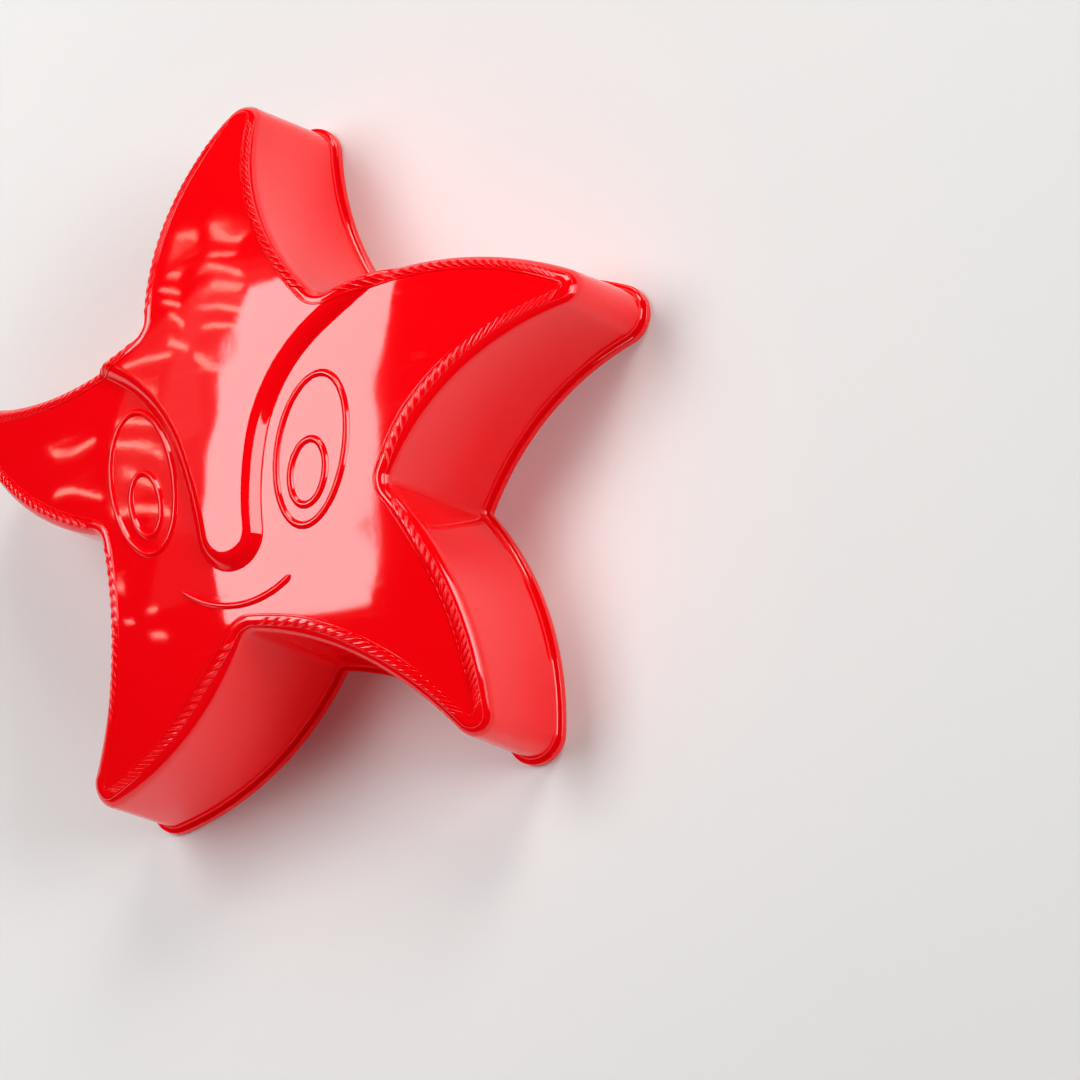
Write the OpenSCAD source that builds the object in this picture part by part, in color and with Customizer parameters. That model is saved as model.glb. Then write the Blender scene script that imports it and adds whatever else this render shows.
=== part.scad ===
// Star mould for sand play, lying face up on its rim and open below.
// It has a domed smiling face, five curved arms, a leaning side wall and a small rim.
// The real object is one moulding, and each module here is one named region of it.
// Sizes are in millimetres, +Z is up, and the arm above the forehead points along +Y.

/* [Overall size] */
// Distance from the middle of the star to the end of an arm, at the top of the wall
arm_reach = 65; // [58:1:72]
// Distance from the middle of the star to the corner between two arms
notch_reach = 30.6; // [28:0.2:34]
// Height of the middle of the face above the floor
crown_height = 35; // [31:1:42]
// Radius of the dome that the face follows
crown_radius = 168; // [150:2:260]
// Thickness of the plastic
wall = 1.3; // [1:0.1:1.6]

/* [Arm outline] */
// Radius of an arm's rounded end
tip_round = 3.5; // [2.5:0.1:4.5]
// Radius of the corner between two arms
notch_round = 2.6; // [2.3:0.1:3.5]
// Radius of the bulging edge of an arm
bulge_radius = 53; // [48:1:70]
// Radius of the hollow edge of an arm
hollow_radius = 51.5; // [46:0.5:70]

/* [Side wall and rim] */
// How far the wall spreads outward between its top and the rim
wall_spread = 0.8; // [0.3:0.1:1]
// Radius of the rounded shoulder between wall and face
shoulder_round = 1.95; // [1.8:0.05:2.4]
// How far the rim stands out from the foot of the wall
rim_out = 1.1; // [0.9:0.1:1.2]
// Height of the rim
rim_height = 1.6; // [1.2:0.1:2.4]
// Radius of the hollow corner between wall and rim
rim_fillet = 0.8; // [0.4:0.1:0.8]

/* [Forehead and nose] */
// How far the forehead and nose stand above the rest of the face
step_rise = 2.2; // [1:0.1:3]
// Width of the rounded slope around the forehead and nose
step_width = 3; // [2:0.1:4]
// Radius of the round end of the nose
nose_round = 6.5; // [5.5:0.1:7]
// Distance from the middle of the star down to the middle of the nose's round end
nose_drop = 13.9; // [12:0.1:14]
// Sideways place of the nose
nose_shift = -1.25; // [-1.5:0.05:0]
// Turn of the nose and forehead about the middle of the star, in degrees
nose_turn = 1.4; // [0:0.1:3]
// Radius of the long side of the nose
side_radius = 62; // [55:1:75]
// Radius of the brow, where the nose spreads into the forehead
brow_radius = 31; // [28:1:34]

/* [Eyes and mouth] */
// Width of a raised line
line_width = 1.4; // [1:0.1:1.6]
// Height of a raised line
line_height = 0.45; // [0.3:0.05:0.8]
// Depth of the matching line inside the mould
print_depth = 0.5; // [0.3:0.05:0.8]
// Half the length of an eye
eye_length = 13; // [10:0.1:13.2]
// Half the width of an eye
eye_width = 6.3; // [5:0.1:6.5]
// Half the length of a pupil
pupil_length = 5.6; // [4:0.1:6]
// Half the width of a pupil
pupil_width = 3.2; // [2.4:0.1:3.6]
// Middle of the right eye, to the right
right_eye_x = 15.8; // [15.4:0.1:17]
// Middle of the right eye, upward
right_eye_y = -2.6; // [-4:0.1:-2]
// Middle of the left eye, to the left
left_eye_x = 18.35; // [18:0.05:19.5]
// Middle of the left eye, upward
left_eye_y = -1.6; // [-3:0.1:-1]
// How far a pupil sits below the middle of its eye
pupil_drop = 4; // [2:0.1:5]
// Lean of the right eye away from upright, in degrees
right_eye_lean = 13; // [8:1:15]
// Lean of the left eye away from upright, in degrees
left_eye_lean = 8; // [5:1:12]
// Radius of the smile
smile_radius = 17.5; // [16:0.5:20]
// Distance from the middle of the star down to the lowest point of the smile
smile_drop = 26.2; // [25.4:0.1:26.4]
// Angle that the smile covers, in degrees
smile_angle = 76; // [60:1:80]
// How far the lowest point of the smile sits to the left
smile_shift = 0.3; // [0:0.1:1]
// Turn of the smile, clockwise, in degrees
smile_turn = 3; // [0:0.5:5]

/* [Rope border] */
// Distance of the rope's inner line from the edge of the face
rope_in = 3.1; // [2.9:0.05:3.2]
// Width of the rope's inner line
rope_line = 0.5; // [0.3:0.05:0.6]
// Height of the rope's line and strands
rope_height = 0.35; // [0.2:0.05:0.5]
// Spacing of the strands halfway along an arm
strand_pitch = 1.75; // [1.4:0.05:3]
// Width of a strand
strand_width = 0.7; // [0.4:0.05:0.8]
// How far a strand runs back along the edge, from its inner to its outer end
strand_run = 1.7; // [0.8:0.1:2.4]

/* [Hidden] */

// Arms, counted anticlockwise from the forehead arm
arm_count = 5;
arm_turn = 360 / arm_count;
first_turn = 90;
forehead_arm = 0;
left_arm = 1;
lower_left_arm = 2;
lower_right_arm = 3;
right_arm = 4;

// How finely the curves are cut: parts of a notch, an arm's edge and its tip, and of the wall's fillets
notch_parts = 3;
edge_parts = 17;
tip_parts = 7;
fillet_parts = 2;
shoulder_parts = 4;
inner_shoulder_parts = 2;
dome_facets = 360;

// Parts of the nose's round end, its long side, the brow and its straight run
nose_parts = 9;
side_parts = 6;
brow_parts = 9;
run_parts = 8;
// Angle by which the long side of the nose opens where it leaves the round end
nose_flare = 2.3;
// Angle through which the long side of the nose bends
side_bend = 13.7;
// Slope of the brow where it runs out straight to the edge of the face
brow_slope = 34;
// Places across the slope around the nose, and how high the slope has climbed at each
slope_place_shares = [0, 0.25, 0.5, 0.7, 0.85, 1];
slope_climb_shares = [0, 0.38, 0.7, 0.88, 0.97, 1];

// Parts of an eye's outline and of the smile
eye_parts = 40;
smile_parts = 20;
// Places across a raised line, counted in half widths, and its height there
line_place_shares = [-1, -0.55, 0, 0.55, 1];
line_climb_shares = [0, 0.75, 1, 0.75, 0];
// Places across the rope's line, counted in its width, and its height there
rope_line_shares = [[-0.5, 0], [-0.2, 1], [0.2, 1], [0.5, 0]];
// Part of the edge that the strands cover, and how much they crowd towards the tip
strand_cover_share = 0.92;
strand_crowd_share = 0.3;
// How far a strand's ridge stops short of its ends
ridge_end_share = 0.15;

dome_middle = crown_height - crown_radius;
rim_spread = wall_spread + rim_out;
inner_round = shoulder_round - wall;
far = 2 * arm_reach;
print_foot = -wall;
print_peak = -wall - print_depth;

// Plane geometry
function along(r, a) = [r * cos(a), r * sin(a)];
function turned(p, a) = [p[0] * cos(a) - p[1] * sin(a), p[0] * sin(a) + p[1] * cos(a)];
function aim(a, b) = atan2(b[1] - a[1], b[0] - a[0]);
function near_angle(a, b) = a - 360 * round((a - b) / 360);
function arc(c, r, a, b, n) = [for (i = [0:n]) c + along(r, a + (b - a) * i / n)];
function tail(v) = [for (i = [1:len(v) - 1]) v[i]];
function lead(v) = [for (i = [0:len(v) - 2]) v[i]];

// The point at one distance from a and another from b, to the left of the way from a to b
function meet(a, ra, b, rb) =
    let (
        d = norm(b - a),
        u = (b - a) / d,
        x = (ra * ra - rb * rb + d * d) / (2 * d),
        y = sqrt(ra * ra - x * x)
    )
    a + x * u + y * [-u[1], u[0]];

// Centres of the arcs that bound one arm, drawn with the arm along +X
half_turn = arm_turn / 2;
notch_centre = notch_reach + notch_round;
tip_c = [arm_reach - tip_round, 0];
notch_a = along(notch_centre, half_turn);
notch_b = along(notch_centre, -half_turn);
bulge_c = meet(tip_c, bulge_radius - tip_round, notch_a, bulge_radius + notch_round);
hollow_c = meet(tip_c, hollow_radius + tip_round, notch_b, hollow_radius - notch_round);

// Directions at which one arc hands over to the next
notch_b_mid = aim(notch_b, [0, 0]);
notch_a_mid = aim(notch_a, [0, 0]);
hollow_from = near_angle(aim(hollow_c, notch_b), notch_b_mid);
hollow_to = near_angle(aim(hollow_c, tip_c), hollow_from);
tip_from = near_angle(aim(tip_c, hollow_c), 0);
tip_to = near_angle(aim(bulge_c, tip_c), 0);
bulge_from = tip_to;
bulge_to = near_angle(aim(bulge_c, notch_a), bulge_from);
notch_a_from = near_angle(aim(notch_a, bulge_c), notch_a_mid);

// Edge of one arm, moved outward by d, from the middle of one notch to the middle of the next
function arm_edge(d) = concat(
    arc(notch_b, notch_round - d, notch_b_mid, hollow_from, notch_parts),
    tail(arc(hollow_c, hollow_radius - d, hollow_from, hollow_to, edge_parts)),
    tail(arc(tip_c, tip_round + d, tip_from, tip_to, tip_parts)),
    tail(arc(bulge_c, bulge_radius + d, bulge_from, bulge_to, edge_parts)),
    tail(arc(notch_a, notch_round - d, notch_a_from, notch_a_mid, notch_parts))
);

function arm_angle(k) = first_turn + arm_turn * k;
function placed_edge(d, k) = [for (p = arm_edge(d)) turned(p, arm_angle(k))];
function star_edge(d) = [for (k = [0:arm_count - 1]) each lead(placed_edge(d, k))];

// Middle of the rim's outline, which becomes the origin
rim_edge = star_edge(rim_spread);
rim_x = [for (p = rim_edge) p[0]];
rim_y = [for (p = rim_edge) p[1]];
middle = [(min(rim_x) + max(rim_x)) / 2, (min(rim_y) + max(rim_y)) / 2];

// Height of the dome over a point, h above the lower face
function dome(p, h) = dome_middle + sqrt(pow(crown_radius + h, 2) - p[0] * p[0] - p[1] * p[1]);

// The nose and forehead are drawn upright and mirror alike, then turned and shifted
function to_nose(p) = turned(p, -nose_turn) - [nose_shift, 0];
function from_nose(p) = turned(p + [nose_shift, 0], nose_turn);
brow_end = 90 + brow_slope;
side_from = 180 - nose_flare;
side_to = side_from - side_bend;
nose_c = [0, -nose_drop];
side_c = nose_c + along(nose_round + side_radius, -nose_flare);
brow_c = side_c + along(side_radius - brow_radius, side_to);
brow_run = notch_reach / 2;

// Right half of the nose's outline, moved inward by v, with the brow run out straight by w
function nose_half(v, w) = concat(
    arc(nose_c, nose_round - v, -90, -nose_flare, nose_parts),
    tail(arc(side_c, side_radius + v, side_from, side_to, side_parts)),
    tail(arc(brow_c, brow_radius + v, side_to, brow_end, brow_parts)),
    [for (i = [1:run_parts]) brow_c + along(brow_radius + v, brow_end) + along(w * i / run_parts, brow_slope)]
);
function mirrored(v) = [for (i = [len(v) - 1:-1:1]) [-v[i][0], v[i][1]]];
function nose_edge(v, w) = [for (p = concat(mirrored(nose_half(v, w)), nose_half(v, w))) from_nose(p)];
function nose_field(v) = concat(nose_edge(v, far), [[far, 2 * far], [-far, 2 * far]]);

// How far a point near the edge of the face lies inside the foot of the slope
function brow_depth(p) =
    let (
        q = to_nose(p),
        r = [abs(q[0]), q[1]] - brow_c,
        a = atan2(r[1], r[0])
    )
    a >= brow_end ? norm(r) - brow_radius : r * along(1, brow_end) - brow_radius;
function step_at(p) = step_rise * lookup(brow_depth(p) / step_width,
    [for (i = [0:len(slope_place_shares) - 1]) [slope_place_shares[i], slope_climb_shares[i]]]);
function lifted(p, h) = [p[0], p[1], dome(p, step_at(p) + h)];

// A solid between rings of points: each ring runs along the piece, and the rings go round it
module loft(rings, loop) {
    m = len(rings);
    n = len(rings[0]);
    last = loop ? n - 1 : n - 2;
    sides = [for (j = [0:m - 1], i = [0:last])
        let (
            a = j * n + i,
            b = j * n + (i + 1) % n,
            c = ((j + 1) % m) * n + i,
            d = ((j + 1) % m) * n + (i + 1) % n
        )
        each [[a, b, d], [a, d, c]]];
    caps = loop ? [] : [[for (j = [0:m - 1]) j * n], [for (j = [m - 1:-1:0]) j * n + n - 1]];
    polyhedron(points = [for (r = rings) each r], faces = concat(sides, caps));
}

module centred() {
    translate([-middle[0], -middle[1], 0]) children();
}

// Cross-section of the side wall: outward place, height, and whether the height is counted from the dome
wall_profile = concat(
    [for (i = [0:fillet_parts])
        let (a = 90 * i / fillet_parts)
        [wall_spread + rim_fillet * (1 - sin(a)), rim_height + rim_fillet * (1 - cos(a)), false]],
    [for (i = [0:shoulder_parts])
        let (a = 90 * i / shoulder_parts)
        [-shoulder_round * (1 - cos(a)), -shoulder_round * (1 - sin(a)), true]],
    [for (i = [0:inner_shoulder_parts])
        let (a = 90 - 90 * i / inner_shoulder_parts)
        [-shoulder_round + inner_round * cos(a), -shoulder_round + inner_round * sin(a), true]],
    [[wall_spread - wall, rim_height, false]]
);

// Side wall of one arm with its rounded shoulder, from notch to notch
module arm_wall(k) {
    centred() loft([for (s = wall_profile)
        [for (p = placed_edge(s[0], k)) s[2] ? lifted(p, s[1]) : [p[0], p[1], s[1]]]], false);
}

// Shell of the dome between two heights above the lower face
module dome_shell(low, high) {
    translate([0, 0, dome_middle]) difference() {
        sphere(r = crown_radius + high, $fn = dome_facets);
        sphere(r = crown_radius + low, $fn = dome_facets);
    }
}

// Upright prism over an outline, tall enough to cut right through the dome
module prism(outline) {
    linear_extrude(height = 2 * crown_height) polygon(outline);
}

// Raised line on the face: rings at places across the line, then closed along its foot
module bead(line, foot, peak, loop) {
    loft([for (i = [0:len(line_place_shares) - 1])
        [for (p = line[i]) [p[0], p[1], dome(p, foot + (peak - foot) * line_climb_shares[i])]]], loop);
}

// Upright oval seen from above, leaning by a degrees
function oval(c, long, short, a) = [for (i = [0:eye_parts - 1])
    let (t = 360 * i / eye_parts)
    c + turned([short * cos(t), long * sin(t)], a)];

module oval_line(c, long, short, a, foot, peak) {
    centred() bead([for (s = line_place_shares)
        oval(c, long + s * line_width / 2, short + s * line_width / 2, a)], foot, peak, true);
}

right_eye = [right_eye_x, right_eye_y];
left_eye = [-left_eye_x, left_eye_y];
right_pupil = right_eye + turned([0, -pupil_drop], -right_eye_lean);
left_pupil = left_eye + turned([0, -pupil_drop], left_eye_lean);
smile_c = [-smile_shift, smile_radius - smile_drop];
smile_from = -90 - smile_angle / 2 - smile_turn;
smile_to = -90 + smile_angle / 2 - smile_turn;

module smile(foot, peak) {
    centred() bead([for (s = line_place_shares)
        arc(smile_c, smile_radius + s * line_width / 2, smile_from, smile_to, smile_parts)],
        foot, peak, false);
}

// Strands of one arm: each is a low ridge that runs back towards the notch as it goes outward
strand_out = shoulder_round;
strand_in = rope_in - rope_line / 2;
edge_run = hollow_radius * abs(hollow_to - hollow_from) * PI / 180;
strand_count = round(edge_run * strand_cover_share / strand_pitch);
function strand_share(i) =
    let (t = (i + 0.5) / strand_count)
    strand_cover_share * ((1 + strand_crowd_share) * t - strand_crowd_share * t * t);
// One strand as six points: four on the face and two along the ridge
function strand_points(a, b, w) =
    let (
        u = (b - a) / norm(b - a),
        s = w / 2 * [-u[1], u[0]],
        c = a + (b - a) * ridge_end_share,
        d = b - (b - a) * ridge_end_share
    )
    concat([for (p = [a - s, b - s, b + s, a + s]) lifted(p, 0)], [for (p = [c, d]) lifted(p, rope_height)]);
// Ends of a strand on the hollow edge and on the bulging edge, as shares of the way to the tip
function on_hollow(x, t) = hollow_c + along(hollow_radius + x, hollow_from + (hollow_to - hollow_from) * t);
function on_bulge(x, t) = bulge_c + along(bulge_radius - x, bulge_to + (bulge_from - bulge_to) * t);
run_share = strand_run / edge_run;
function hollow_strand(i, k) = strand_points(
    turned(on_hollow(strand_out, strand_share(i)), arm_angle(k)),
    turned(on_hollow(strand_in, strand_share(i) + run_share), arm_angle(k)), strand_width);
function bulge_strand(i, k) = strand_points(
    turned(on_bulge(strand_in, strand_share(i) + run_share), arm_angle(k)),
    turned(on_bulge(strand_out, strand_share(i)), arm_angle(k)), strand_width);
strand_faces = [[0, 1, 2], [0, 2, 3], [0, 4, 5], [0, 5, 1], [1, 5, 2], [2, 5, 4], [2, 4, 3], [3, 4, 0]];

module strands(list) {
    polyhedron(points = [for (s = list) each s],
        faces = [for (i = [0:len(list) - 1], f = strand_faces) [f[0] + 6 * i, f[1] + 6 * i, f[2] + 6 * i]]);
}

module arm_rope(k) {
    centred() {
        loft([for (s = rope_line_shares)
            [for (p = placed_edge(s[0] * rope_line - rope_in, k)) lifted(p, s[1] * rope_height)]], false);
        strands(concat(
            [for (i = [0:strand_count - 1]) hollow_strand(i, k)],
            [for (i = [0:strand_count - 1]) bulge_strand(i, k)]));
    }
}

// Flat strip under the wall of one arm, on which the mould stands
module arm_rim(k) {
    inside = placed_edge(wall_spread - wall, k);
    centred() linear_extrude(height = rim_height)
        polygon(concat(placed_edge(rim_spread, k), [for (i = [len(inside) - 1:-1:0]) inside[i]]));
}

module forehead_arm_rim() {
    color("firebrick") arm_rim(forehead_arm);
}

module left_arm_rim() {
    color("firebrick") arm_rim(left_arm);
}

module lower_left_arm_rim() {
    color("firebrick") arm_rim(lower_left_arm);
}

module lower_right_arm_rim() {
    color("firebrick") arm_rim(lower_right_arm);
}

module right_arm_rim() {
    color("firebrick") arm_rim(right_arm);
}

module forehead_arm_wall() {
    color("crimson") arm_wall(forehead_arm);
}

module left_arm_wall() {
    color("red") arm_wall(left_arm);
}

module lower_left_arm_wall() {
    color("crimson") arm_wall(lower_left_arm);
}

module lower_right_arm_wall() {
    color("red") arm_wall(lower_right_arm);
}

module right_arm_wall() {
    color("orangered") arm_wall(right_arm);
}

// Lower face: cheeks and the four arms beside and below the nose
module face_panel() {
    color("tomato") centred() intersection() {
        dome_shell(-wall, 0);
        difference() {
            prism(star_edge(-shoulder_round));
            prism(nose_field(0));
        }
    }
}

// Raised face: forehead arm, forehead and nose
module nose_panel() {
    color("orangered") centred() intersection() {
        dome_shell(step_rise - wall, step_rise);
        prism(star_edge(-shoulder_round));
        prism(nose_field(step_width));
    }
}

// Rounded slope between the lower and the raised face
module nose_step() {
    count = len(slope_place_shares);
    tops = [for (i = [0:count - 1])
        [for (p = nose_edge(step_width * slope_place_shares[i], brow_run))
            [p[0], p[1], dome(p, step_rise * slope_climb_shares[i])]]];
    feet = [for (i = [count - 1:-1:0])
        [for (p = nose_edge(step_width * slope_place_shares[i], brow_run))
            [p[0], p[1], dome(p, step_rise * slope_climb_shares[i] - wall)]]];
    color("darkred") centred() intersection() {
        loft(concat(tops, feet), false);
        prism(star_edge(-shoulder_round));
    }
}

module forehead_arm_rope() {
    color("salmon") arm_rope(forehead_arm);
}

module left_arm_rope() {
    color("salmon") arm_rope(left_arm);
}

module lower_left_arm_rope() {
    color("salmon") arm_rope(lower_left_arm);
}

module lower_right_arm_rope() {
    color("salmon") arm_rope(lower_right_arm);
}

module right_arm_rope() {
    color("salmon") arm_rope(right_arm);
}

module left_eye_line() {
    color("maroon") oval_line(left_eye, eye_length, eye_width, left_eye_lean, 0, line_height);
}

module left_pupil_line() {
    color("maroon") oval_line(left_pupil, pupil_length, pupil_width, left_eye_lean, 0, line_height);
}

module right_eye_line() {
    color("maroon") oval_line(right_eye, eye_length, eye_width, -right_eye_lean, 0, line_height);
}

module right_pupil_line() {
    color("maroon") oval_line(right_pupil, pupil_length, pupil_width, -right_eye_lean, 0, line_height);
}

module mouth_line() {
    color("maroon") smile(0, line_height);
}

module left_eye_print() {
    color("pink") oval_line(left_eye, eye_length, eye_width, left_eye_lean, print_foot, print_peak);
}

module left_pupil_print() {
    color("pink") oval_line(left_pupil, pupil_length, pupil_width, left_eye_lean, print_foot, print_peak);
}

module right_eye_print() {
    color("pink") oval_line(right_eye, eye_length, eye_width, -right_eye_lean, print_foot, print_peak);
}

module right_pupil_print() {
    color("pink") oval_line(right_pupil, pupil_length, pupil_width, -right_eye_lean, print_foot, print_peak);
}

module mouth_print() {
    color("pink") smile(print_foot, print_peak);
}

forehead_arm_rim();
left_arm_rim();
lower_left_arm_rim();
lower_right_arm_rim();
right_arm_rim();
forehead_arm_wall();
left_arm_wall();
lower_left_arm_wall();
lower_right_arm_wall();
right_arm_wall();
face_panel();
nose_panel();
nose_step();
forehead_arm_rope();
left_arm_rope();
lower_left_arm_rope();
lower_right_arm_rope();
right_arm_rope();
left_eye_line();
left_pupil_line();
right_eye_line();
right_pupil_line();
mouth_line();
left_eye_print();
left_pupil_print();
right_eye_print();
right_pupil_print();
mouth_print();
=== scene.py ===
"""Star-shaped sand mould, lying face up on a pale floor.

The mould is one thin moulding in glossy red plastic. Its shell is skinned from the star's
outline, ring by ring, and the face is filled between the rings. The raised lines of the eyes,
the pupils and the smile, the rope round the face and the ribs inside lie on that shell.
Lengths are in millimetres until a piece is finished, and then in metres.
"""
from math import atan2, cos, degrees, pi, radians, sin, sqrt

import bmesh
import bpy
from mathutils import Matrix, Vector


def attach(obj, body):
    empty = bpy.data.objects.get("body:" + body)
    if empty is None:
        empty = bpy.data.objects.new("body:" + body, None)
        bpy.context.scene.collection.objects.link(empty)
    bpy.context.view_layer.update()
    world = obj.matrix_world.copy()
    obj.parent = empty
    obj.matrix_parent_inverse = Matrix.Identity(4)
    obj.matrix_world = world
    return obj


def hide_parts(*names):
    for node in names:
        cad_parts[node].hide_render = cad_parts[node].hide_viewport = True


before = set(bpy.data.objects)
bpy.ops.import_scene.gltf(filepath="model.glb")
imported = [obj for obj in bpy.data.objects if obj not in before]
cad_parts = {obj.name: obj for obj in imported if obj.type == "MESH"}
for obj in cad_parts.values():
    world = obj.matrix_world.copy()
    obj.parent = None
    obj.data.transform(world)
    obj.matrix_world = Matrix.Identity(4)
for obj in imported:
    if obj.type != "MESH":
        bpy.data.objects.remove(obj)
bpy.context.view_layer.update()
scene = bpy.context.scene
scene.view_settings.view_transform = "Standard"


# Sizes of the mould

MM = 0.001  # a millimetre in metres

ARM_REACH = 65.0
NOTCH_REACH = 30.6
CROWN_HEIGHT = 35.0
CROWN_RADIUS = 168.0
WALL = 1.3

TIP_ROUND = 3.5
NOTCH_ROUND = 2.6
BULGE_RADIUS = 53.0
HOLLOW_RADIUS = 51.5

WALL_SPREAD = 0.8
SHOULDER_ROUND = 1.95
RIM_OUT = 1.05
RIM_HEIGHT = 1.6
RIM_FILLET = 0.8
RIM_SOFT = 0.25

STEP_RISE = 2.2
STEP_WIDTH = 3.0
NOSE_ROUND = 6.5
NOSE_DROP = 13.9
NOSE_SHIFT = -1.25
NOSE_TURN = 1.4
NOSE_FLARE = 2.3
SIDE_RADIUS = 62.0
SIDE_BEND = 13.7
BROW_RADIUS = 31.0
BROW_SLOPE = 34.0

LINE_WIDTH = 1.4
LINE_HEIGHT = 0.45
LINE_SINK = 0.015  # how far a line's feet lie in the face
LINE_ROOT = 0.3  # how far lines and ribs reach into the shell
PRINT_DEPTH = 0.5

ARMS = ("forehead_arm", "left_arm", "lower_left_arm", "lower_right_arm", "right_arm")
ARM_ANGLE = 72  # degrees from one arm to the next


# Plane geometry

def along(r, a):
    """The point at distance r in direction a, which is in degrees."""
    return Vector((r * cos(radians(a)), r * sin(radians(a))))


def turned(p, a):
    """The point p, turned by a degrees round the origin."""
    return Matrix.Rotation(radians(a), 2) @ p


def aim(a, b):
    """The direction from a to b, in degrees."""
    return degrees(atan2(b.y - a.y, b.x - a.x))


def near(a, b):
    """The angle a, in the turn that lies nearest to b."""
    return a - 360 * round((a - b) / 360)


def meet(a, ra, b, rb):
    """The point ra from a and rb from b, left of the way from a to b."""
    d = (b - a).length
    u = (b - a) / d
    x = (ra * ra - rb * rb + d * d) / (2 * d)
    return a + x * u + sqrt(ra * ra - x * x) * Vector((-u.y, u.x))


def quarter(steps):
    """Sine and cosine of the angles from 0 to 90 degrees, in equal steps."""
    angles = [radians(90 * i / steps) for i in range(steps + 1)]
    return [(sin(a), cos(a)) for a in angles]


class Arc:
    """A stretch of a circle, whose radius grows by sign times the offset of the outline."""

    def __init__(self, centre, radius, start, end, sign):
        self.centre, self.radius, self.start, self.end, self.sign = centre, radius, start, end, sign

    def at(self, share, offset):
        """The place at a share of the arc, with the outline moved outward by the offset."""
        return self.centre + along(self.radius + self.sign * offset,
                                   self.start + (self.end - self.start) * share)

    def length(self):
        """The way along the arc, in mm."""
        return abs(self.end - self.start) * pi / 180 * self.radius


def arm_arcs():
    """The five arcs that bound an arm which points along +X, from notch to notch."""
    middle = NOTCH_REACH + NOTCH_ROUND
    tip = Vector((ARM_REACH - TIP_ROUND, 0))
    low, high = along(middle, -ARM_ANGLE / 2), along(middle, ARM_ANGLE / 2)
    bulge = meet(tip, BULGE_RADIUS - TIP_ROUND, high, BULGE_RADIUS + NOTCH_ROUND)
    hollow = meet(tip, HOLLOW_RADIUS + TIP_ROUND, low, HOLLOW_RADIUS - NOTCH_ROUND)
    zero = Vector((0, 0))
    low_mid, high_mid = aim(low, zero), aim(high, zero)
    hollow_from = near(aim(hollow, low), low_mid)
    hollow_to = near(aim(hollow, tip), hollow_from)
    tip_from, tip_to = near(aim(tip, hollow), 0), near(aim(bulge, tip), 0)
    bulge_to = near(aim(bulge, high), tip_to)
    return [
        Arc(low, NOTCH_ROUND, low_mid, hollow_from, -1),
        Arc(hollow, HOLLOW_RADIUS, hollow_from, hollow_to, -1),
        Arc(tip, TIP_ROUND, tip_from, tip_to, 1),
        Arc(bulge, BULGE_RADIUS, tip_to, bulge_to, 1),
        Arc(high, NOTCH_ROUND, near(aim(high, bulge), high_mid), high_mid, -1),
    ]


ARCS = arm_arcs()
ARC_PLACES = (6, 60, 16, 60, 6)  # places along each arc
LOW_NOTCH, HOLLOW, TIP, BULGE, HIGH_NOTCH = ARCS


def arm_turn(k):
    """The direction in which arm k points, in degrees."""
    return 90 + ARM_ANGLE * k


def slow_start(t):
    """A share from 0 to 1 that starts at about half its even pace."""
    return t * (0.55 + 0.45 * t)


def edge_shares():
    """Places along one arm's outline, each an arc and a share of it, closest near the notches."""
    out = []
    for arc, count in zip(ARCS, ARC_PLACES):
        for i in range(count):
            t = i / count
            if arc is HOLLOW:
                t = slow_start(t)
            if arc is BULGE:
                t = 1 - slow_start(1 - t)
            out.append((arc, t))
    return out


SHARES = edge_shares()


def star_edge(offset):
    """The star's outline, moved outward by the offset; the same places at every offset."""
    return [turned(arc.at(t, offset), arm_turn(k)) for k in range(len(ARMS)) for arc, t in SHARES]


rim_outline = star_edge(WALL_SPREAD + RIM_OUT)
MIDDLE = Vector(((min(p.x for p in rim_outline) + max(p.x for p in rim_outline)) / 2,
                 (min(p.y for p in rim_outline) + max(p.y for p in rim_outline)) / 2))


# Heights of the face

def dome(p, h=0.0):
    """Height of the dome over p, h above the lower face."""
    return CROWN_HEIGHT - CROWN_RADIUS + sqrt((CROWN_RADIUS + h) ** 2 - p.x * p.x - p.y * p.y)


NOSE = Vector((0, -NOSE_DROP))
SIDE = NOSE + along(NOSE_ROUND + SIDE_RADIUS, -NOSE_FLARE)
SIDE_FROM = 180 - NOSE_FLARE
SIDE_TO = SIDE_FROM - SIDE_BEND
BROW = SIDE + along(SIDE_RADIUS - BROW_RADIUS, SIDE_TO)
BROW_END = 90 + BROW_SLOPE
BROW_STEP = 0.8  # between places on the straight run past the brow


def to_nose(p):
    """A point of the face in the nose's own frame, in which the nose stands upright."""
    return turned(p, -NOSE_TURN) - Vector((NOSE_SHIFT, 0))


def from_nose(p):
    """The way back from the nose's frame to the face's."""
    return turned(p + Vector((NOSE_SHIFT, 0)), NOSE_TURN)


def arc_points(c, r, a, b, n):
    """Points round c at distance r, from direction a to direction b in n equal steps."""
    return [c + along(r, a + (b - a) * i / n) for i in range(n + 1)]


def nose_edge(v):
    """The foot of the slope round nose and forehead, moved inward by v, from left to right."""
    half = arc_points(NOSE, NOSE_ROUND - v, -90, -NOSE_FLARE, 16)
    half += arc_points(SIDE, SIDE_RADIUS + v, SIDE_FROM, SIDE_TO, 16)[1:]
    half += arc_points(BROW, BROW_RADIUS + v, SIDE_TO, BROW_END, 36)[1:]
    end = half[-1]
    half += [end + along(BROW_STEP * i, BROW_SLOPE) for i in range(1, 24)]
    left = [Vector((-p.x, p.y)) for p in reversed(half[1:])]
    return [from_nose(p) for p in left + half]


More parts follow.
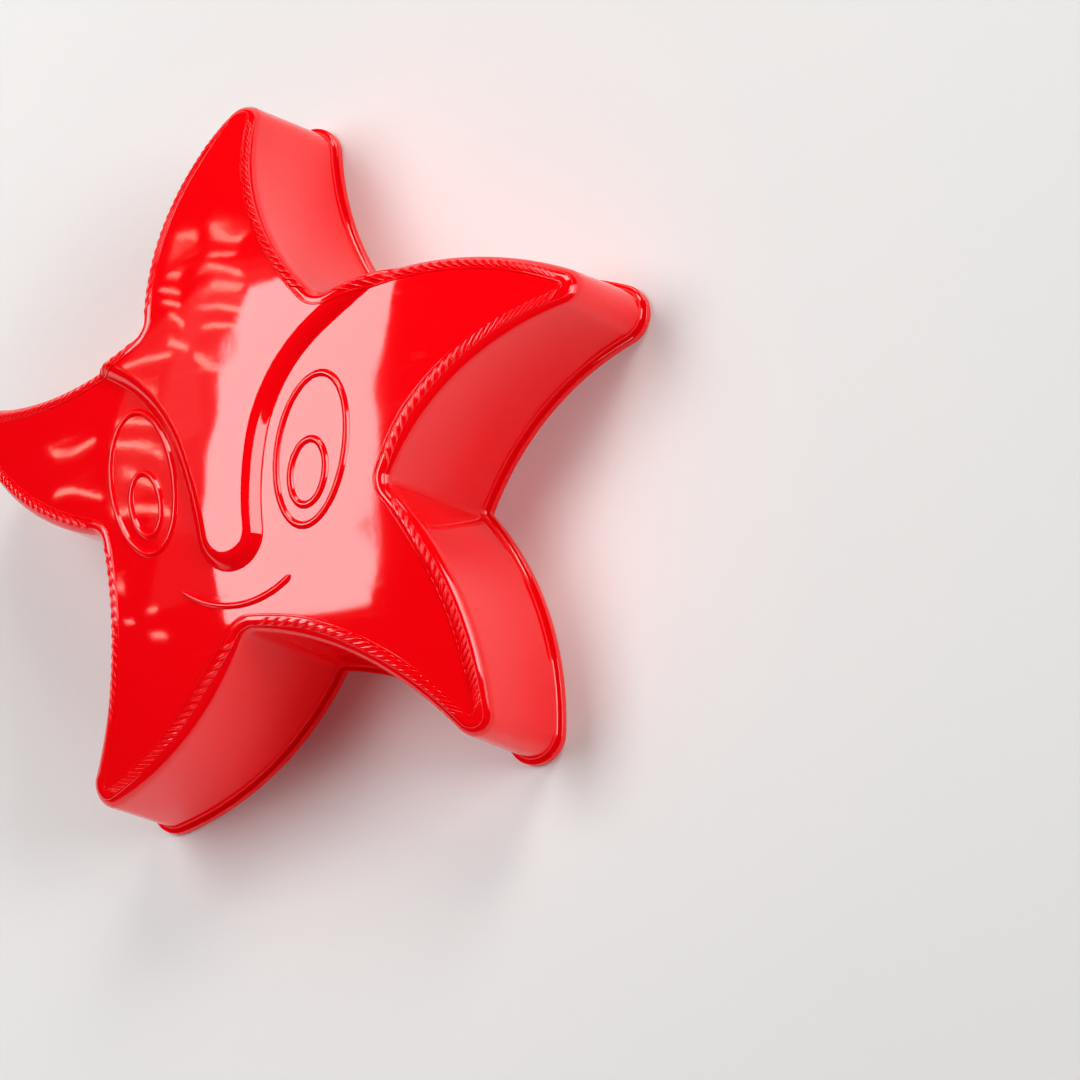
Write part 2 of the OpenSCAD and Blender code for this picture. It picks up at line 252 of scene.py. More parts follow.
def step_depth(p):
    """How far p lies inside the foot of the slope; negative on the lower face."""
    q = to_nose(p)
    q.x = abs(q.x)
    if q.y < NOSE.y and q.x < NOSE_ROUND:
        return NOSE_ROUND - (q - NOSE).length
    a = near(aim(SIDE, q), 180)
    if a > SIDE_TO and (q - NOSE).length < SIDE_RADIUS:
        if a > SIDE_FROM:
            return NOSE_ROUND - (q - NOSE).length
        return (q - SIDE).length - SIDE_RADIUS
    if near(aim(BROW, q), 180) >= BROW_END:
        return (q - BROW).length - BROW_RADIUS
    return (q - BROW).dot(along(1, BROW_END)) - BROW_RADIUS


# The slope from the lower face to the nose: share of its width, share of its height
SLOPE = ((-0.04, 0), (0, 0), (0.04, 0.03), (0.1, 0.12), (0.2, 0.29), (0.35, 0.53), (0.5, 0.73),
         (0.62, 0.855), (0.74, 0.935), (0.86, 0.985), (1, 1), (1.04, 1))


def climb(share):
    """Share of the slope's height that is reached at a share of its width."""
    if share <= 0:
        return 0.0
    for (a, u), (b, v) in zip(SLOPE, SLOPE[1:]):
        if share < b:
            return u + (v - u) * (share - a) / (b - a)
    return 1.0


def step_at(p):
    """How high the nose's slope raises the face at p."""
    return STEP_RISE * climb(step_depth(p) / STEP_WIDTH)


def on_face(p, h=0.0):
    """The place over p at a height h above the face."""
    return Vector((p.x, p.y, dome(p, step_at(p) + h)))


# Mesh helpers

def finish_piece(bm, name, replaced, material, normal_at=None):
    """Turns a mesh in mm into a smooth piece in metres, centred on the rim, which replaces its
    CAD nodes. Corners for which normal_at gives a direction are shaded with it."""
    normals = [normal_at(v.co) for v in bm.verts] if normal_at else None
    bmesh.ops.translate(bm, verts=bm.verts, vec=(-MIDDLE.x, -MIDDLE.y, 0))
    bmesh.ops.scale(bm, verts=bm.verts, vec=(MM, MM, MM))
    for face in bm.faces:
        face.smooth = True
    mesh = bpy.data.meshes.new(name)
    bm.to_mesh(mesh)
    bm.free()
    if normals:
        mesh.normals_split_custom_set_from_vertices(normals)
    piece = bpy.data.objects.new(name, mesh)
    scene.collection.objects.link(piece)
    mesh.materials.append(material)
    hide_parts(*replaced)
    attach(piece, "root")


def ring(bm, points, closed=True):
    """A loop of edges through the points."""
    verts = [bm.verts.new(p) for p in points]
    pairs = zip(verts, verts[1:] + verts[:1]) if closed else zip(verts, verts[1:])
    return verts, [bm.edges.new(pair) for pair in pairs]


def draw_on(bm, edges, verts, points):
    """Extrudes a loop of edges once and puts its new corners on the points."""
    places = {v: Vector(p) for v, p in zip(verts, points)}
    grown = bmesh.ops.extrude_edge_only(bm, edges=edges)["geom"]
    new_verts = {v for v in grown if isinstance(v, bmesh.types.BMVert)}
    new_edges = [e for e in grown if isinstance(e, bmesh.types.BMEdge)]
    partner = {}
    for v in new_verts:
        for e in v.link_edges:
            other = e.other_vert(v)
            if other in places:
                partner[other] = v
    for old, new in partner.items():
        new.co = places[old]
    return new_edges, [partner[v] for v in verts]


def skin(bm, loops, closed=True):
    """Walls from loop to loop of points, each with the same number of places."""
    verts, edges = ring(bm, loops[0], closed)
    for points in loops[1:]:
        edges, verts = draw_on(bm, edges, verts, points)


def close_ends(bm):
    """Flat caps on the open ends, with sharp edges, so that neighbours meet without a crease."""
    open_edges = [e for e in bm.edges if e.is_boundary]
    for cap in bmesh.ops.holes_fill(bm, edges=open_edges, sides=0)["faces"]:
        for edge in cap.edges:
            edge.smooth = False


def inner_edges(bm):
    """The edges that lie between two faces."""
    return [e for e in bm.edges if len(e.link_faces) == 2]


def even_out(bm):
    """Relaxes the inner corners of a flat triangle mesh and turns its edges the better way."""
    free = [v for v in bm.verts if not v.is_boundary]
    bmesh.ops.smooth_vert(bm, verts=free, factor=0.5,
                          use_axis_x=True, use_axis_y=True, use_axis_z=False)
    bmesh.ops.beautify_fill(bm, faces=bm.faces, edges=inner_edges(bm), method="ANGLE")


HALVING_ROUNDS = 10
EVENING_ROUNDS = 8


def filled(points, longest):
    """A flat region filled with even triangles: longer inner edges than asked are halved first."""
    bm = bmesh.new()
    _, edges = ring(bm, [(p.x, p.y, 0) for p in points])
    bmesh.ops.triangle_fill(bm, use_beauty=True, use_dissolve=False, edges=edges)
    for _ in range(HALVING_ROUNDS):
        long_edges = [e for e in inner_edges(bm) if e.calc_length() > longest]
        if not long_edges:
            break
        bmesh.ops.subdivide_edges(bm, edges=long_edges, cuts=1)
        bmesh.ops.triangulate(bm, faces=bm.faces)
        even_out(bm)
    for _ in range(EVENING_ROUNDS):
        even_out(bm)
    return bm


WELD = 0.002
SHEET_WELD = 0.001
ROPE_WELD = 0.0005


def weld(bm, distance=WELD):
    """Joins corners that lie closer together than the distance."""
    bmesh.ops.remove_doubles(bm, verts=bm.verts, dist=distance)


def take_in(bm, other):
    """Adds another bmesh to this one, and uses it up."""
    mesh = bpy.data.meshes.new("part")
    other.to_mesh(mesh)
    other.free()
    bm.from_mesh(mesh)
    bpy.data.meshes.remove(mesh)


# Shell

def shoulder_ring(depth, rise):
    """A ring at a depth inside the outline, a rise above the face that would be over it."""
    return [on_face(p, rise) for p in star_edge(-depth)]


def level_ring(offset, z):
    """A ring round the outline, moved outward by the offset, level at height z."""
    return [Vector((p.x, p.y, z)) for p in star_edge(offset)]


def rings_between(foot, top, steps):
    """The rings that part the way from foot to top into equal steps."""
    return [[a.lerp(b, i / steps) for a, b in zip(foot, top)] for i in range(1, steps)]


def outer_rings():
    """The outside: under the rim, round its two edges, up the wall and over the shoulder."""
    soft, outside = RIM_SOFT, WALL_SPREAD + RIM_OUT
    rings = [level_ring(WALL_SPREAD - WALL + soft, 0)]
    rings += [level_ring(outside - soft + soft * s, soft - soft * c) for s, c in quarter(4)]
    rings += [level_ring(outside - soft + soft * c, RIM_HEIGHT - soft + soft * s)
              for s, c in quarter(4)]
    rings += [level_ring(WALL_SPREAD + RIM_FILLET * (1 - s), RIM_HEIGHT + RIM_FILLET * (1 - c))
              for s, c in quarter(6)]
    rings += rings_between(rings[-1], shoulder_ring(0, -SHOULDER_ROUND), 9)
    rings += [shoulder_ring(SHOULDER_ROUND * (1 - c), -SHOULDER_ROUND * (1 - s))
              for s, c in quarter(8)]
    return rings


def inner_rings():
    """The inside: round the rim's inner edge, up the wall and under the shoulder."""
    soft, inner_round = RIM_SOFT, SHOULDER_ROUND - WALL
    rings = [level_ring(WALL_SPREAD - WALL + soft * (1 - s), soft * (1 - c)) for s, c in quarter(4)]
    rings += rings_between(rings[-1], shoulder_ring(WALL, -SHOULDER_ROUND), 8)
    rings += [shoulder_ring(SHOULDER_ROUND - inner_round * c, -SHOULDER_ROUND + inner_round * s)
              for s, c in quarter(4)]
    return rings


def inside(p, outline):
    """Whether p lies in a closed outline, judged by how often a ray from p crosses it."""
    hits = 0
    for a, b in zip(outline, outline[1:] + outline[:1]):
        if (a.y > p.y) != (b.y > p.y) and p.x < a.x + (b.x - a.x) * (p.y - a.y) / (b.y - a.y):
            hits += 1
    return hits % 2 == 1


def star_run(outline, start, end):
    """The outline's places from start to end, going anticlockwise."""
    count = len(outline)
    return [outline[(start + i) % count] for i in range((end - start) % count + 1)]


def not_past(a, b, count):
    """Whether place a isn't past place b, the short way round an outline of count places."""
    return (a - b + count // 2) % count <= count // 2


def slope_chains(outline):
    """The lines that follow the slope, each with the outline's places on which it starts and ends.
    No two lines share such a place."""
    count = len(outline)
    chains = []
    for place, _ in SLOPE:
        line = nose_edge(STEP_WIDTH * place)
        kept = [i for i, p in enumerate(line) if inside(p, outline)]
        ends = []
        for a, b in ((kept[0] - 1, kept[0]), (kept[-1], kept[-1] + 1)):
            middle = (line[a] + line[b]) / 2
            ends.append(min(range(count), key=lambda i: (outline[i] - middle).length))
        chains.append([ends[0], line[kept[0] + 1:kept[-1]], ends[1]])
    for one, two in zip(chains, chains[1:]):
        if not_past(one[0], two[0], count):
            two[0] = (one[0] - 1) % count
        if not_past(two[2], one[2], count):
            two[2] = (one[2] + 1) % count
    return chains


def face_sheet(longest):
    """The face as one flat sheet, cut along the lines of the slope round the nose."""
    outline = star_edge(-SHOULDER_ROUND)
    chains = slope_chains(outline)
    left, line, right = chains[0]
    sheet = filled(star_run(outline, left, right) + line[::-1], longest)
    for one, two in zip(chains, chains[1:]):
        strip = (star_run(outline, two[0], one[0]) + one[1]
                 + star_run(outline, one[2], two[2]) + two[1][::-1])
        take_in(sheet, filled(strip, longest))
    left, line, right = chains[-1]
    take_in(sheet, filled(star_run(outline, right, left) + line, longest))
    weld(sheet, SHEET_WELD)
    return sheet


def raised(sheet, rise):
    """A copy of the flat sheet, laid on the dome at a rise above the face."""
    copy = sheet.copy()
    for v in copy.verts:
        v.co = on_face(v.co.to_2d(), rise)
    return copy


FACE_EDGE = 2.4  # longest edge that is left when the face is filled
ON_SKIN = 0.003  # how close to the face a corner counts as on it
NEAR_BY = 0.1  # how far to each side the face's tilt is measured


def face_normal(co):
    """The true direction of the face or of its inner side at a corner, or zero for any other."""
    p = co.to_2d()
    if p.length > ARM_REACH:
        return (0, 0, 0)
    if abs(co.z - on_face(p).z) < ON_SKIN:
        side = 1
    elif abs(co.z - on_face(p, -WALL).z) < ON_SKIN:
        side = -1
    else:
        return (0, 0, 0)
    dx, dy = Vector((NEAR_BY, 0)), Vector((0, NEAR_BY))
    tilt_x = (on_face(p + dx).z - on_face(p - dx).z) / (2 * NEAR_BY)
    tilt_y = (on_face(p + dy).z - on_face(p - dy).z) / (2 * NEAR_BY)
    return side * Vector((-tilt_x, -tilt_y, 1)).normalized()


def mould_shell(material):
    """Rim, walls, shoulder and face as one closed shell, with its inner side."""
    bm = bmesh.new()
    skin(bm, outer_rings())
    skin(bm, inner_rings())
    sheet = face_sheet(FACE_EDGE)
    take_in(bm, raised(sheet, 0))
    take_in(bm, raised(sheet, -WALL))
    sheet.free()
    weld(bm)
    bmesh.ops.recalc_face_normals(bm, faces=bm.faces)
    nodes = [arm + part for arm in ARMS for part in ("_rim", "_wall")]
    nodes += ["face_panel", "nose_panel", "nose_step"]
    finish_piece(bm, "mould_shell", nodes, material, face_normal)


# Raised lines of the face

# Places across a raised line from one foot to the other, and across its root
LINE_PLACES = (-1, -0.8, -0.6, -0.4, -0.2, 0, 0.2, 0.4, 0.6, 0.8, 1)
ROOT_PLACES = (0.9, -0.9)


def swell(s):
    """Height of a raised line at a place across it, from 0 at its feet to 1 on its ridge."""
    return (1 - s * s) ** 1.5


def bead_loops(line_at, foot, height, root):
    """Loops over a raised line and back under it. A negative height makes a rib that hangs down."""
    loops = [[on_face(p, foot + height * swell(s)) for p in line_at(s)] for s in LINE_PLACES]
    return loops + [[on_face(p, foot - root) for p in line_at(s)] for s in ROOT_PLACES]


OVAL_PLACES = 96


def oval(centre, long, short, lean):
    """Places along an oval at s across its line; long and short are half its length and width."""
    def line_at(s):
        out = []
        shift = s * LINE_WIDTH / 2
        for i in range(OVAL_PLACES):
            t = 2 * pi * i / OVAL_PLACES
            spot = Vector(((short + shift) * cos(t), (long + shift) * sin(t)))
            out.append(centre + turned(spot, lean))
        return out
    return line_at


SMILE_RADIUS = 17.5
SMILE_DROP = 26.2
SMILE_ANGLE = 76
SMILE_SHIFT = 0.3
SMILE_TURN = 3
SMILE_TAPER = 1.4  # length of its round ends
SMILE_POINT = 0.02  # share of its width that is left at the very ends
SMILE_FINE = 0.72  # width of its left end beside its right one
SMILE_PLACES = 64


def smile(s):
    """Places along the smile at s across its line, which gets finer towards its round ends."""
    centre = Vector((-SMILE_SHIFT, SMILE_RADIUS - SMILE_DROP))
    out = []
    for i in range(SMILE_PLACES + 1):
        t = i / SMILE_PLACES
        near_end = min(t, 1 - t) * radians(SMILE_ANGLE) * SMILE_RADIUS
        blunt = 1 - min(1, near_end / SMILE_TAPER)
        w = LINE_WIDTH / 2 * min(1, sqrt(max(0.0, 1 - blunt ** 2)) + SMILE_POINT)
        w *= SMILE_FINE + (1 - SMILE_FINE) * t
        angle = -90 - SMILE_TURN + SMILE_ANGLE * (t - 0.5)
        out.append(centre + along(SMILE_RADIUS + s * w, angle))
    return out


def face_line(name, line_at, closed, inside_rib, material):
    """The raised line of a feature of the face, or the rib that follows it inside."""
    bm = bmesh.new()
    if inside_rib:
        loops = bead_loops(line_at, -WALL, -PRINT_DEPTH, -LINE_ROOT)
    else:
        loops = bead_loops(line_at, -LINE_SINK, LINE_HEIGHT, LINE_ROOT)
    skin(bm, loops + [loops[0]], closed)
    weld(bm)
    if not closed:
        close_ends(bm)
    bmesh.ops.recalc_face_normals(bm, faces=bm.faces)
    own, replaced = ("_rib", "_print") if inside_rib else ("_bead", "_line")
    finish_piece(bm, name + own, [name + replaced], material)


LEFT_LEAN = 8
RIGHT_LEAN = -13
PUPIL_DROP = Vector((0, -4))
EYES = {  # middle, half the length, half the width, lean in degrees
    "left_eye": (Vector((-18.3, -1.6)), 12.8, 6.8, LEFT_LEAN),
    "left_pupil": (Vector((-18.35, -1.6)) + turned(PUPIL_DROP, LEFT_LEAN), 5.6, 3.2, LEFT_LEAN),
    "right_eye": (Vector((15.8, -2.6)), 13.0, 6.3, RIGHT_LEAN),
    "right_pupil": (Vector((15.8, -2.6)) + turned(PUPIL_DROP, RIGHT_LEAN), 5.6, 3.2, RIGHT_LEAN),
}


# Rope round the face

def edge_place(k, arc, t, girth, rise):
    """A place over arm k's edge: the share t of an arc, a girth inside the outline measured along
    the skin, which bends down over the shoulder, and a rise above the skin."""
    tilt = min(pi / 2, max(0.0, (SHOULDER_ROUND - girth) / SHOULDER_ROUND))
    depth = SHOULDER_ROUND * (1 - sin(tilt)) if girth < SHOULDER_ROUND else girth
    drop = SHOULDER_ROUND * (1 - cos(tilt)) + max(0.0, SHOULDER_ROUND * (1 - pi / 2) - girth)
    base = turned(arc.at(t, -depth), arm_turn(k))
    p = turned(arc.at(t, -depth + rise * sin(tilt)), arm_turn(k))
    return Vector((p.x, p.y, dome(base, step_at(base)) - drop + rise * cos(tilt)))


def arm_run():
    """Places along an arm from notch to notch: arc, share, and closeness to the tip from 0 to 1."""
    out = []
    for arc, t in SHARES:
        if arc is HOLLOW:
            reach = t
        elif arc is BULGE:
            reach = 1 - t
        else:
            reach = 1.0 if arc is TIP else 0.0
        out.append((arc, t, reach))
    return out + [(HIGH_NOTCH, 1.0, 0.0)]


RUN = arm_run()

# Girth of the ridge on the hollow side, on the bulging side and at the tip, arm by arm
ROPE_SIDES = ((2.0, 2.2, 1.6), (2.3, 2.6, 2.4), (2.4, 3.4, 3.0), (3.2, 3.2, 3.0), (3.2, 2.5, 2.8))
ROPE_NOTCH = 2.4
ROPE_BLEND = 0.25  # share of a side over which its girth changes, at the notch and at the tip

# Places across the ridge from -1 to 1, each with its height as a share of the rise
RIDGE = ((-1, -0.01), (-0.5, 0.75), (0, 1), (0.5, 0.75), (1, -0.01), (0.6, -0.6), (-0.6, -0.6))
RIDGE_HALF = 0.25
RIDGE_RISE = 0.17

WELT_START = 0.12  # from the ridge's middle line outward
WELT_WIDTH = 1.7
WELT_NARROWS = 0.35  # on the forehead arm
WELT_RISE = 0.2
WELT_SIDE = 0.05  # how far the welt's feet lie beyond the strands
WELT_SINK = 0.01
WELT_ROOT = 0.1
WELT_PLACES = (-1, -0.85, -0.7, -0.5, -0.25, 0, 0.25, 0.5, 0.7, 0.85, 1)
WELT_ROOT_PLACES = (0.7, -0.7)

# For the hollow and the bulging side, arm by arm: height of the strands, and how far along the
# side they would be faded out
STRAND_RISE = ((0.34, 0.16), (0.18, 0.28), (0.2, 0.34), (0.34, 0.36), (0.34, 0.22))
STRAND_END = ((1.2, 1.1), (1.0, 1.0), (0.8, 0.7), (0.55, 1.05), (0.8, 1.0))
FADE_SHARE = 0.3  # share of a side over which the rope fades
FAINTEST = 0.22

STRANDS = 26
STRAND_START = 0.15  # from the ridge's middle line outward
STRAND_SPAN = 0.96  # share of a side that the strands fill
STRAND_GATHER = 0.35  # how much closer together they lie towards the tip
STRAND_HALF = 0.3  # half a strand's width beside the way to the next
STRAND_LEAN = 2.6  # how far along the edge a strand slants
STRAND_ENDS = 5  # a strand's ends slope down over one part in this many of its length
STRAND_FOOT = 0.3  # share of its height that is left beside the ridge
STRAND_DEPTH = 0.2
STRAND_SINK = 0.015
STRAND_STEPS = 8
STRAND_SIDES = 6


def strand_strength(k, arc, reach):
    """Strength of the rope from 1 down to faint, which it is near some tips."""
    end = STRAND_END[k][0] if arc in (LOW_NOTCH, HOLLOW) else STRAND_END[k][1]
    return min(1.0, max(FAINTEST, (end - reach) / FADE_SHARE))


def rope_depth(k, arc, reach):
    """How far the ridge lies inside the outline, with soft changes from notch to side to tip."""
    hollow, bulge, tip = ROPE_SIDES[k]
    side = hollow if arc in (LOW_NOTCH, HOLLOW) else bulge
    if reach < ROPE_BLEND:
        return ROPE_NOTCH + (side - ROPE_NOTCH) * reach / ROPE_BLEND
    return side + (tip - side) * max(0.0, (reach - (1 - ROPE_BLEND)) / ROPE_BLEND)


def welt_width(k, reach):
    """Width of the welt, which is narrower on the forehead arm, but alike at every notch."""
    return WELT_WIDTH - WELT_NARROWS * min(1, reach / ROPE_BLEND) if k == 0 else WELT_WIDTH


def welt_depth(k, arc, reach, s):
    """How far inside the outline the welt's surface lies at s across it."""
    width = welt_width(k, reach)
    middle = rope_depth(k, arc, reach) - WELT_START - width / 2
    return middle - s * (width / 2 + WELT_SIDE)


def rope_ridge(bm, k):
    """The thin ridge along the outer ends of the strands."""
    loops = []
    for s, h in RIDGE:
        loop = []
        for arc, t, reach in RUN:
            strength = strand_strength(k, arc, reach) if h > 0 else 1
            loop.append(edge_place(k, arc, t, rope_depth(k, arc, reach) - s * RIDGE_HALF,
                                   RIDGE_RISE * h * strength))
        loops.append(loop)
    skin(bm, loops + [loops[0]], closed=False)


def rope_welt(bm, k):
    """The low welt that carries the strands."""
    loops = []
    for s in WELT_PLACES:
        loops.append([edge_place(k, arc, t, welt_depth(k, arc, reach, s),
                                 WELT_RISE * swell(s) * strand_strength(k, arc, reach) - WELT_SINK)
                      for arc, t, reach in RUN])
    for s in WELT_ROOT_PLACES:
        loops.append([edge_place(k, arc, t, welt_depth(k, arc, reach, s), -WELT_ROOT)
                      for arc, t, reach in RUN])
    skin(bm, loops + [loops[0]], closed=False)


def rope_strand(k, arc, way, high, x):
    """A slanting strand of arm k. Its x runs from 0 at the notch to 1 at the tip, towards which
    the strands lie closer together and get finer."""
    share = STRAND_SPAN * ((1 + STRAND_GATHER) * x - STRAND_GATHER * x * x)
    half_width = STRAND_HALF * STRAND_SPAN * (1 + STRAND_GATHER - 2 * STRAND_GATHER * x) / STRANDS
    lean = min(STRAND_LEAN / arc.length(), 1 - share - half_width)
    fade = strand_strength(k, arc, share)
    depth = rope_depth(k, arc, share)
    across = welt_width(k, share)
    half = across / 2 + WELT_SIDE
    strand = bmesh.new()
    bmesh.ops.create_grid(strand, x_segments=STRAND_STEPS, y_segments=STRAND_SIDES, size=1)
    for v in strand.verts:
        u, s = (v.co.x + 1) / 2, v.co.y
        place = share + lean * (1 - u) + half_width * s
        blunt_ends = min(1, STRAND_ENDS * (1 - u)) * min(1, STRAND_ENDS * u + STRAND_FOOT)
        on_welt = (STRAND_START - WELT_START + across * (u - 0.5)) / half
        rise = high * fade * swell(min(1, abs(s))) * blunt_ends
        rise += WELT_RISE * fade * swell(min(1, abs(on_welt)))
        v.co = edge_place(k, arc, place if way > 0 else 1 - place,
                          depth - STRAND_START - across * u, rise - STRAND_SINK)
    bmesh.ops.solidify(strand, geom=strand.faces, thickness=STRAND_DEPTH)
    bmesh.ops.recalc_face_normals(strand, faces=strand.faces)
    return strand


def rope_border(k, material):
    """The rope along arm k, from notch to notch: ridge, welt and strands."""
    bm = bmesh.new()
    rope_ridge(bm, k)
    rope_welt(bm, k)
    weld(bm, ROPE_WELD)
    close_ends(bm)
    hollow_rise, bulge_rise = STRAND_RISE[k]
    for arc, way, high in ((HOLLOW, 1, hollow_rise), (BULGE, -1, bulge_rise)):
        for i in range(STRANDS):
            take_in(bm, rope_strand(k, arc, way, high, (i + 0.5) / STRANDS))
    weld(bm, ROPE_WELD)
    bmesh.ops.recalc_face_normals(bm, faces=bm.faces)
    finish_piece(bm, ARMS[k] + "_border", [ARMS[k] + "_rope"], material)


# Materials

class Socket:
    """A socket of a shader tree, on which sums and products add the nodes they need."""

    def __init__(self, tree, socket):
        self.tree, self.socket = tree, socket

    def math(self, operation, a, b, clamp=False):
        """The result of a Math node on a and b, each a socket or a number."""
        return self.tree.node("ShaderNodeMath", {"operation": operation, "use_clamp": clamp},
                              {0: a, 1: b})["Value"]

    def __add__(self, other):
        return self.math("ADD", self, other)

    def __radd__(self, other):
        return self.math("ADD", other, self)

    def __sub__(self, other):
        return self.math("SUBTRACT", self, other)

    def __rsub__(self, other):
        return self.math("SUBTRACT", other, self)

    def __mul__(self, other):
        return self.math("MULTIPLY", self, other)

    def __rmul__(self, other):
        return self.math("MULTIPLY", other, self)

    def clamped(self):
        """The same value, kept between 0 and 1."""
        return self.math("ADD", self, 0.0, clamp=True)


class Tree:
    """A node tree, with one method that adds any node."""

    def __init__(self, node_tree):
        self.tree = node_tree
        self.tree.nodes.clear()

    def node(self, kind, settings=None, values=None):
        """Adds a node, with its settings and then its sockets, and gives its outputs by name."""
        made = self.tree.nodes.new(kind)
        for key, value in (settings or {}).items():
            setattr(made, key, value)
        for key, value in (values or {}).items():
            target = next((i for i in made.inputs if i.identifier == key), None) or made.inputs[key]
            if isinstance(value, Socket):
                self.tree.links.new(value.socket, target)
            else:
                target.default_value = value
        return {key: Socket(self, output) for output in made.outputs
                for key in (output.name, output.identifier)}


def new_material(name):
    """A material, its tree and the place on the piece that its patterns read."""
    material = bpy.data.materials.new(name)
    material.use_nodes = True
    tree = Tree(material.node_tree)
    return material, tree, tree.node("ShaderNodeTexCoord")["Object"]


def noise(tree, place, scale, detail, roughness=0.5):
    """A soft irregular pattern from 0 to 1."""
    return tree.node("ShaderNodeTexNoise", {}, {
        "Vector": place, "Scale": scale, "Detail": detail, "Roughness": roughness})["Fac"]


def blend(tree, share, a, b):
    """A colour between a and b."""
    return tree.node("ShaderNodeMix", {"data_type": "RGBA"}, {
        "Factor_Float": share, "A_Color": a, "B_Color": b})["Result_Color"]


def surface(tree, values):
    """The shader with these values, as the material's surface."""
    shader = tree.node("ShaderNodeBsdfPrincipled", {}, values)["BSDF"]
    tree.node("ShaderNodeOutputMaterial", {}, {"Surface": shader})


def moulded_red():
    """Glossy red moulding: even colour, faint flow marks, light scuffs, a slightly uneven skin."""
    material, tree, place = new_material("moulded_red")
    flow = noise(tree, place, 22.0, 2.0)
    grain = noise(tree, place, 900.0, 3.0, 0.6)
    stretched = tree.node("ShaderNodeMapping", {}, {
        "Vector": place, "Rotation": (0, 0, 0.6), "Scale": (1, 9, 9)})["Vector"]
    scuffs = noise(tree, stretched, 70.0, 4.0)
    uneven = noise(tree, place, 55.0, 1.0, 0.4)
    bump = tree.node("ShaderNodeBump", {}, {
        "Strength": 0.5, "Distance": 0.0007, "Height": uneven + grain * 0.008})["Normal"]
    surface(tree, {
        "Base Color": blend(tree, (flow - 0.35).clamped() * 1.6,
                            (0.92, 0.0005, 0.004, 1), (0.88, 0.0002, 0.002, 1)),
        "Roughness": 0.03 + 0.03 * flow + 0.015 * grain + 0.5 * (scuffs - 0.6).clamped(),
        "Normal": bump, "IOR": 1.57})
    return material


def studio_floor():
    """Pale matt floor with a hardly visible mottle."""
    material, tree, place = new_material("studio_floor")
    mottle = noise(tree, place, 9.0, 3.0)
    surface(tree, {"Base Color": blend(tree, mottle, (0.76, 0.76, 0.77, 1), (0.79, 0.79, 0.79, 1)),
                   "Roughness": 0.9})
    return material


# The mould

red = moulded_red()
mould_shell(red)
for name, (centre, long, short, lean) in EYES.items():
    for inside_rib in (False, True):
        face_line(name, oval(centre, long, short, lean), True, inside_rib, red)
for inside_rib in (False, True):
    face_line("mouth", smile, False, inside_rib, red)
for k in range(len(ARMS)):
    rope_border(k, red)


# Floor, lights and camera, in metres

FLOOR_HALF = 6


def floor():
    """The ground that the mould lies on."""
    bm = bmesh.new()
    bmesh.ops.create_grid(bm, x_segments=1, y_segments=1, size=FLOOR_HALF)
    mesh = bpy.data.meshes.new("floor")
    bm.to_mesh(mesh)
    bm.free()
    ground = bpy.data.objects.new("floor", mesh)
    scene.collection.objects.link(ground)
    mesh.materials.append(studio_floor())


WHITE = (1.0, 1.0, 1.0)
CREAM = (1.0, 0.94, 0.86)
WARM = (1.0, 0.88, 0.7)
ON_MOULD = (0, 0, 0)


def softbox(name, centre, size, radiance, target, spin=0.0, colour=WHITE):
    """A rectangular lamp whose face has the given brightness, turned towards a place and spun in
    its plane."""
    lamp = bpy.data.lights.new(name, "AREA")
    lamp.shape = "RECTANGLE"
    lamp.color = colour
    lamp.size, lamp.size_y = size
    lamp.energy = radiance * pi * size[0] * size[1]
    holder = bpy.data.objects.new(name, lamp)
    holder.location = centre
    turn = (Vector(centre) - Vector(target)).to_track_quat("Z", "Y").to_matrix()
    holder.rotation_euler = (turn @ Matrix.Rotation(radians(spin), 3, "Z")).to_euler()
    scene.collection.objects.link(holder)
    return holder


def overhead(name, x, y, size, radiance, spin, colour=WHITE, height=0.95):
    """A softbox that looks straight down."""
    softbox(name, (x, y, height), size, radiance, (x, y, 0), spin, colour)


def world_light(strength):
    """Even white light from all round."""
    world = bpy.data.worlds.new("studio")
    world.use_nodes = True
    scene.world = world
    tree = Tree(world.node_tree)
    background = tree.node("ShaderNodeBackground", {}, {
        "Color": (1, 1, 1, 1), "Strength": strength})["Background"]
    tree.node("ShaderNodeOutputWorld", {}, {"Surface": background})


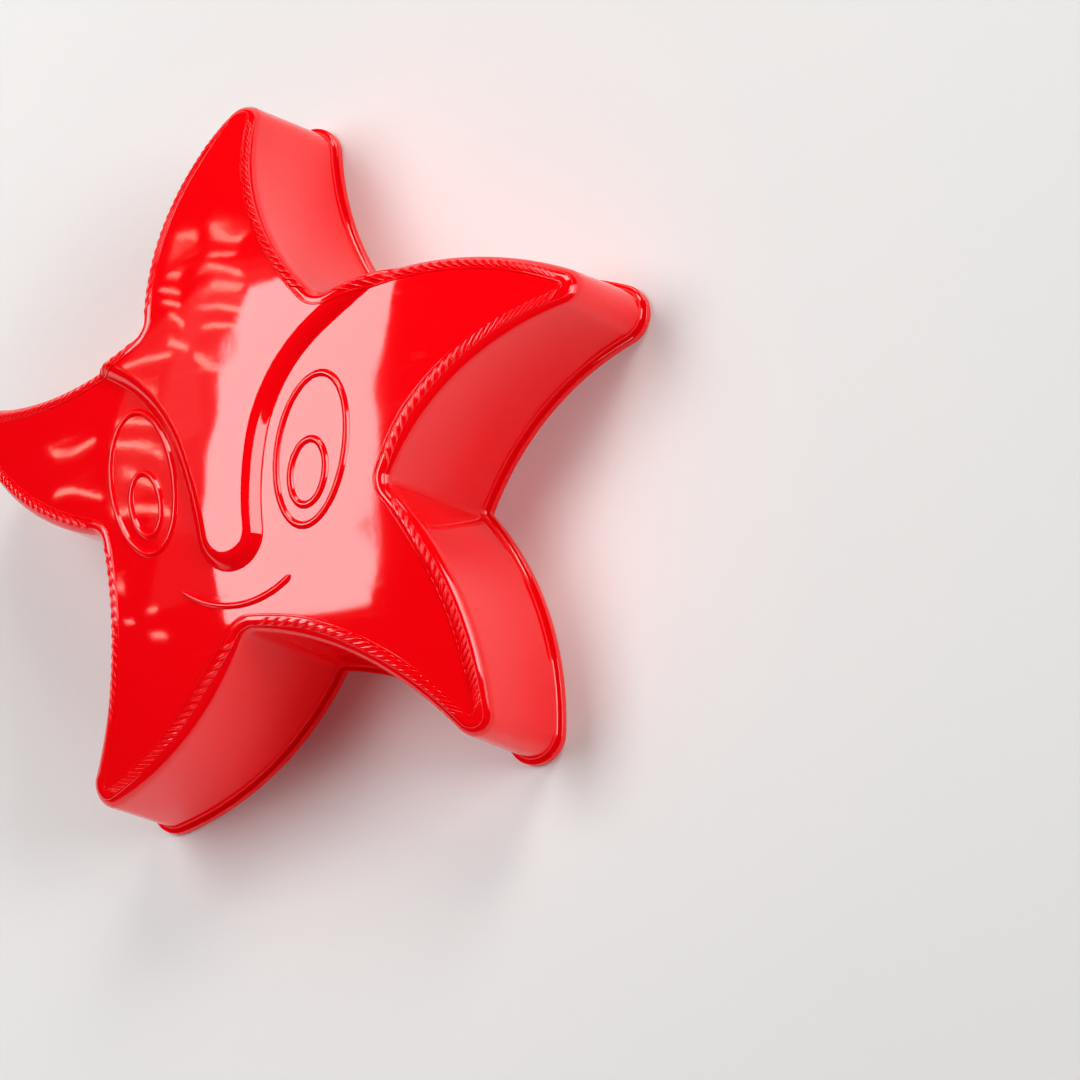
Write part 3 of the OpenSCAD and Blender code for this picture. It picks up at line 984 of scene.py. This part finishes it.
floor()
overhead("key", -0.4, 0.32, (0.45, 0.83), 7.8, -4.5)
overhead("ceiling_near", -0.77, 0.53, (0.3, 0.7), 0.14, -14, height=0.98)
overhead("ceiling_middle", -0.76, 0.46, (0.27, 0.94), 0.12, -10, height=0.985)
overhead("ceiling_far", -0.98, 0.62, (0.5, 0.5), 0.2, 9, height=0.99)
softbox("side", (0.5, 0.91, 0.74), (0.36, 0.6), 8.5, ON_MOULD, -30, CREAM)
softbox("right", (1.317, 0.138, 0.704), (0.8, 0.5), 6.9, ON_MOULD)
softbox("fill_right", (1.65, 0.1, 0.3), (1.1, 0.46), 2.4, ON_MOULD)
front = softbox("fill_front", (0.0, -1.8, 0.22), (3.0, 0.45), 4.0, ON_MOULD)
front.visible_glossy = False  # it brightens the walls, and doesn't show in the gloss

# Rows of narrow lamps overhead: how many, where the first hangs, step to the next, length, spin
ROWS = (
    (7, (-0.8, 1.07), (0.033, -0.088), 0.2, -31),
    (6, (-1.09, 1.18), (0.045, -0.1), 0.17, -31),
    (6, (-1.06, 0.72), (0.015, -0.088), 0.28, -23),
    (2, (-1.67, 0.69), (0.14, -0.185), 0.6, -17),
    (2, (-1.08, 0.13), (0.0, -0.12), 0.06, -12),
    (2, (-0.9, 0.02), (0.0, -0.09), 0.05, -12))
STRIP_WIDTH = 0.014
STRIP_RADIANCE = 6.5


def uneven_row(pace, row, i):
    """A number from -1 to 1 for lamp i of a row, uneven but the same each time."""
    return sin(pace * i + row)


def strip(row, i, start, step, length, spin):
    """Lamp i of a row, a little off its even place, length and spin."""
    x = start[0] + step[0] * i + 0.02 * uneven_row(5.1, row, i)
    y = start[1] + step[1] * i
    own_length = length * (1 + 0.25 * uneven_row(3.7, row, i))
    overhead("strip_%d_%d" % (row, i), x, y, (own_length, STRIP_WIDTH), STRIP_RADIANCE,
             spin + 4 * uneven_row(2.4, row, i), WARM)


for row, (count, start, step, length, spin) in enumerate(ROWS):
    for i in range(count):
        strip(row, i, start, step, length, spin)
world_light(0.01)

# The camera, at the photograph's viewing angle
lens = bpy.data.cameras.new("camera")
lens.sensor_width = 36
lens.lens = 150.93
lens.clip_end = 20
camera = bpy.data.objects.new("camera", lens)
camera.matrix_world = Matrix((
    (0.86560958, 0.18905179, 0.4636588, 0.39515758),
    (-0.07327262, 0.96384199, -0.25620256, -0.2189762),
    (-0.49532937, 0.18779789, 0.84816317, 0.65125498),
    (0, 0, 0, 1)))
scene.collection.objects.link(camera)
scene.camera = camera
